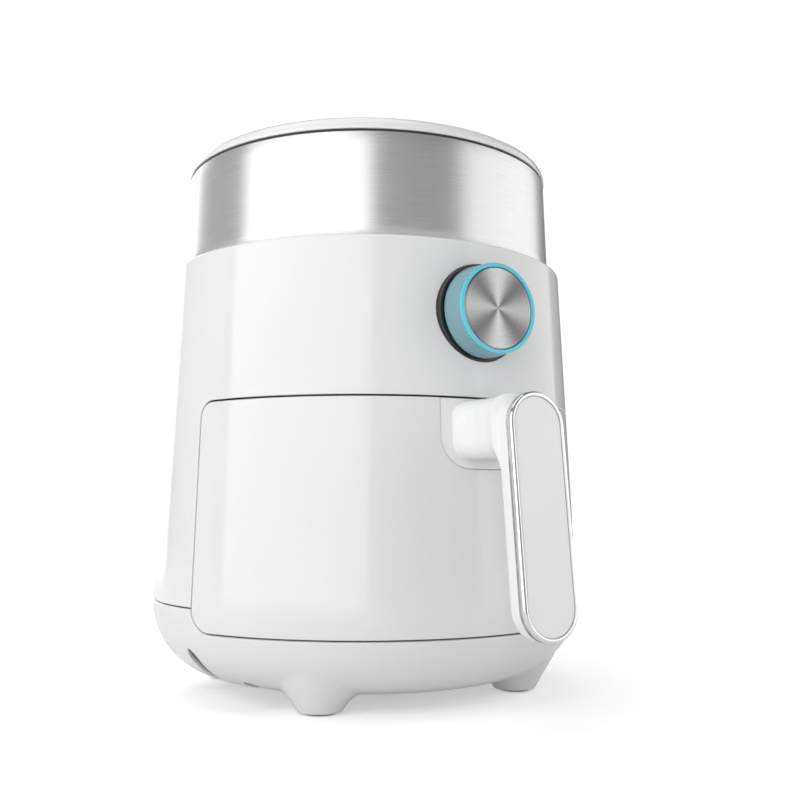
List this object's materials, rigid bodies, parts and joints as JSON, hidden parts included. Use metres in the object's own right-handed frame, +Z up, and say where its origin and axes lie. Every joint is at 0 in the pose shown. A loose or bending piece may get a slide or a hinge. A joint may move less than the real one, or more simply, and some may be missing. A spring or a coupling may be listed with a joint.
{
  "type": "air fryer",
  "caption": "Round countertop air fryer: tapered white housing with a steel band, side timer knob and a pull-out pan drawer with a vertical handle.",
  "frame": {"origin": "centre of the fryer's outline on the plane that its rubber feet stand on; the body's own axis stands 20 mm behind it, because the handle reaches out to the front", "axes": "+Z up, -Y towards the drawer's handle and the knob, +X to the right seen from the front"},
  "size_m": [0.217, 0.2614, 0.268],
  "materials": {
    "white_plastic": "gloss",
    "brushed_band": "vertical sheen, fine horizontal brushing",
    "spun_steel": "circular spun finish",
    "chrome_trim": "polished",
    "knob_blue": "satin",
    "knob_cyan": "gloss",
    "black_plastic": "satin",
    "dark_frame": "fine grain",
    "black_rubber": "matte",
    "non_stick": "satin non-stick coating",
    "sheet_steel": "mill finish",
    "bright_wire": "plated wire",
    "element_sheath": "heat-tinted sheath",
    "screw_steel": "zinc plated",
    "motor_steel": "laminated",
    "copper_winding": "varnished copper",
    "bronze_bush": "sintered bronze",
    "pale_plastic": "plain moulding",
    "red_button": "plain moulding",
    "wire_sleeve": "silicone sleeve"
  },
  "bodies": {
    "housing": {"lower_base": "white_plastic", "rubber_feet": "black_rubber", "outer_shell": "white_plastic", "head_shell": "dark_frame", "steel_band": "brushed_band", "lid_gasket": "black_rubber", "top_lid": "white_plastic", "inner_can": "sheet_steel", "slide_rails": "pale_plastic", "chamber_roof": "sheet_steel", "heater_guard": "bright_wire", "heating_element": "element_sheath", "element_clips": "sheet_steel", "chassis_brackets": "sheet_steel", "chassis_screws": "screw_steel", "base_screws": "screw_steel", "exhaust_duct": "sheet_steel", "outlet_grille": "black_plastic", "motor_bracket": "sheet_steel", "motor_case": "motor_steel", "motor_windings": "copper_winding", "motor_bearings": "bronze_bush", "thermostat": "pale_plastic", "thermal_cutout": "pale_plastic", "terminal_block": "pale_plastic", "wiring": "wire_sleeve", "cord_inlet": "black_plastic", "microswitch": "black_plastic", "timer_case": "pale_plastic", "timer_bell": "motor_steel", "timer_nut": "screw_steel", "knob_bezel": "black_plastic"},
    "switch_button": {"switch_plunger": "red_button"},
    "knob": {"timer_spindle": "screw_steel", "knob_body": "knob_blue", "knob_ring": "knob_cyan", "knob_cap": "spun_steel"},
    "fan_rotor": {"motor_shaft": "screw_steel", "motor_rotor": "motor_steel", "convection_fan": "sheet_steel", "fan_nut": "screw_steel", "cooling_fan": "black_plastic"},
    "drawer": {"drawer_front": "white_plastic", "drawer_backing": "dark_frame", "backing_screws": "screw_steel", "handle_bracket": "white_plastic", "pan": "non_stick", "pan_bracket": "sheet_steel", "handle_grip": "white_plastic", "handle_screws": "screw_steel", "handle_trim": "chrome_trim", "handle_plate": "white_plastic"},
    "tray": {"crisper_tray": "non_stick", "tray_bumpers": "black_rubber"}
  },
  "joints": [
    {"name": "drawer_slide", "type": "slide", "parent": "housing", "child": "drawer", "axis": [0, -1, 0], "range_m": [0, 0.2]},
    {"name": "tray_lift", "type": "slide", "parent": "drawer", "child": "tray", "axis": [0, 0, 1], "range_m": [0, 0.065]},
    {"name": "knob_turn", "type": "hinge", "parent": "housing", "child": "knob", "pos_m": [0, -0.09688, 0.1773], "axis": [0, 1, 0], "range_deg": [0, 300]},
    {"name": "fan_spin", "type": "hinge", "parent": "housing", "child": "fan_rotor", "pos_m": [0, 0.01989, 0.18], "axis": [0, 0, 1], "continuous": true},
    {"name": "switch_press", "type": "slide", "parent": "housing", "child": "switch_button", "axis": [0, 1, 0], "range_m": [0, 0.0012], "stiffness_N_per_m": 300, "springref_m": -0.002}
  ]
}
